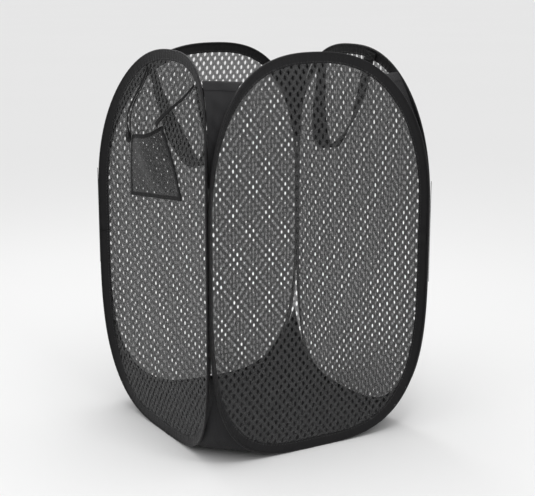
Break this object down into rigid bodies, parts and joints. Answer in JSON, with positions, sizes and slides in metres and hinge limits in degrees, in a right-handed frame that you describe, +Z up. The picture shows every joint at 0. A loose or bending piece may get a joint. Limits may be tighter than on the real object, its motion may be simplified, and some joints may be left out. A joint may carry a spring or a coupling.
{
  "type": "pop-up laundry hamper",
  "caption": "Collapsible mesh laundry bag: netted spring-wire hoops sewn at the corners, fabric base, two webbing handles, outside pocket.",
  "frame": {"origin": "on the floor, below the middle of the bag's square plan", "axes": "+Z up; the front panel faces -Y, the pocket panel faces -X"},
  "size_m": [0.37, 0.37, 0.57],
  "materials": {
    "binding_tape": "black satin-woven polyester tape with a soft sheen",
    "net": "dark warp-knitted polyester net",
    "spring_wire": "drawn spring steel",
    "base_fabric": "black coated plain-weave polyester",
    "webbing": "black flat-woven webbing",
    "pocket_trim": "charcoal ribbed trim tape",
    "thread": "black polyester thread"
  },
  "bodies": {
    "front_panel": {"front_binding": "binding_tape", "front_wire": "spring_wire", "front_ferrule": "spring_wire", "front_net": "net", "base_panel": "base_fabric", "front_corner_gusset": "base_fabric", "right_corner_gusset": "base_fabric", "front_corner_seam": "thread", "right_corner_seam": "thread"},
    "left_panel": {"left_binding": "binding_tape", "left_wire": "spring_wire", "left_ferrule": "spring_wire", "left_net": "net", "left_handle_tabs": "webbing", "pocket_net": "net", "pocket_mouth_binding": "pocket_trim", "pocket_side_bindings": "pocket_trim", "pocket_rear_strap": "pocket_trim", "pocket_front_strap": "pocket_trim", "left_corner_gusset": "base_fabric", "left_corner_seam": "thread"},
    "right_panel": {"right_binding": "binding_tape", "right_wire": "spring_wire", "right_ferrule": "spring_wire", "right_net": "net", "right_handle_tabs": "webbing"},
    "back_panel": {"back_binding": "binding_tape", "back_wire": "spring_wire", "back_ferrule": "spring_wire", "back_net": "net", "rear_corner_gusset": "base_fabric", "rear_corner_seam": "thread"},
    "left_handle": {"left_handle": "webbing"},
    "right_handle": {"right_handle": "webbing"}
  },
  "joints": [
    {"name": "fold", "type": "hinge", "parent": "front_panel", "child": "left_panel", "pos_m": [-0.1685, -0.1685, 0.305], "axis": [0, 0, -1], "range_deg": [0, 55], "stiffness_Nm_per_rad": 0.05, "deforming": ["base_panel", "front_corner_gusset"]},
    {"name": "right_fold", "type": "hinge", "parent": "front_panel", "child": "right_panel", "pos_m": [0.1836, -0.1836, 0.305], "axis": [0, 0, -1], "range_deg": [0, 55], "deforming": ["right_corner_gusset"]},
    {"name": "back_fold", "type": "hinge", "parent": "left_panel", "child": "back_panel", "pos_m": [-0.1836, 0.1836, 0.305], "axis": [0, 0, 1], "range_deg": [0, 55], "deforming": ["left_corner_gusset", "rear_corner_gusset"]},
    {"name": "left_handle_swing", "type": "hinge", "parent": "left_panel", "child": "left_handle", "pos_m": [-0.14663, -0.02, 0.53516], "axis": [-0.0357, -0.9919, -0.1217], "range_deg": [0, 160]},
    {"name": "right_handle_swing", "type": "hinge", "parent": "right_panel", "child": "right_handle", "pos_m": [0.16312, 0.015, 0.54243], "axis": [0.0041, 0.9969, -0.0789], "range_deg": [0, 160]}
  ],
  "couplings": [
    {"joint": "right_fold", "follows": "fold", "ratio": 1},
    {"joint": "back_fold", "follows": "fold", "ratio": 1}
  ]
}
